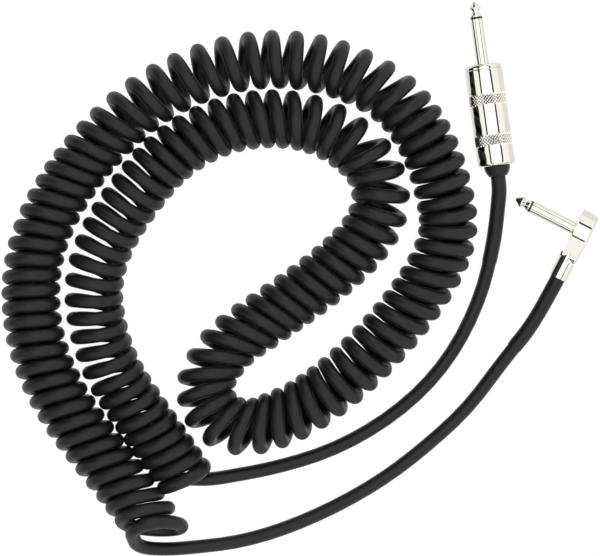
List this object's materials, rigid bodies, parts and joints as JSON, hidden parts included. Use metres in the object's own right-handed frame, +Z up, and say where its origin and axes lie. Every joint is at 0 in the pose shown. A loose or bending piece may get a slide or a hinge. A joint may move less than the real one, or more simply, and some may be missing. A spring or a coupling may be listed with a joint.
{
  "type": "instrument cable",
  "caption": "Coiled instrument cable with a straight plug and a flat right-angle plug, laid out with its smooth leads.",
  "frame": {"origin": "on the surface the cable lies on, under the middle of the box round the two plugs", "axes": "+Z up; +Y along the longer side of the box round the two plugs, towards the straight plug's tip; +X away from the coil"},
  "size_m": [0.2983, 0.2762, 0.0286],
  "materials": {
    "nickel": "polished nickel plate, with a satin knurl on the straight plug's barrel",
    "jacket_black": "satin PVC",
    "shrink_black": "satin heat-shrink tube",
    "relief_rubber": "smooth rubber",
    "ring_black": "smooth",
    "inner_plastic": "smooth",
    "washer_brown": "fibre board",
    "tinned_steel": "tinned",
    "core_insulation": "smooth",
    "copper": "twisted strands",
    "solder": "bright"
  },
  "bodies": {
    "cable": {"straight_tip_contact": "nickel", "straight_tip_insulator": "ring_black", "straight_rod_tube": "inner_plastic", "straight_sleeve": "nickel", "straight_rear_washer": "washer_brown", "straight_ground_terminal": "tinned_steel", "straight_tip_lug": "tinned_steel", "straight_core_wire": "core_insulation", "straight_shield_twist": "copper", "straight_tip_solder": "solder", "straight_ground_solder": "solder", "straight_heat_shrink": "shrink_black", "straight_lead": "jacket_black", "coiled_cable": "jacket_black", "angled_lead": "jacket_black", "angled_heat_shrink": "shrink_black", "angled_tip_contact": "nickel", "angled_tip_insulator": "ring_black", "angled_rod_tube": "inner_plastic", "angled_sleeve": "nickel", "angled_rear_washer": "washer_brown", "angled_tip_lug": "tinned_steel", "angled_housing": "nickel", "angled_core_wire": "core_insulation", "angled_shield_twist": "copper", "angled_tip_solder": "solder", "angled_ground_solder": "solder"},
    "liner": {"straight_barrel_liner": "inner_plastic"},
    "barrel": {"straight_barrel": "nickel", "straight_strain_relief": "relief_rubber"},
    "cover": {"angled_cover": "nickel", "angled_insulating_disc": "washer_brown"}
  },
  "joints": [
    {"name": "liner_slide", "type": "slide", "parent": "cable", "child": "liner", "axis": [0.1374, -0.9905, 0], "range_m": [0, 0.004]},
    {"name": "barrel_turn", "type": "hinge", "parent": "liner", "child": "barrel", "pos_m": [-0.02403, 0.03652, 0.00953], "axis": [0.1374, -0.9905, 0], "range_deg": [0, 1800]},
    {"name": "cover_slide", "type": "slide", "parent": "cable", "child": "cover", "axis": [0.8918, -0.4524, 0], "range_m": [0, 0.012]}
  ],
  "couplings": [
    {"joint": "liner_slide", "follows": "barrel_turn", "m_per_rad": 0.00012637}
  ]
}
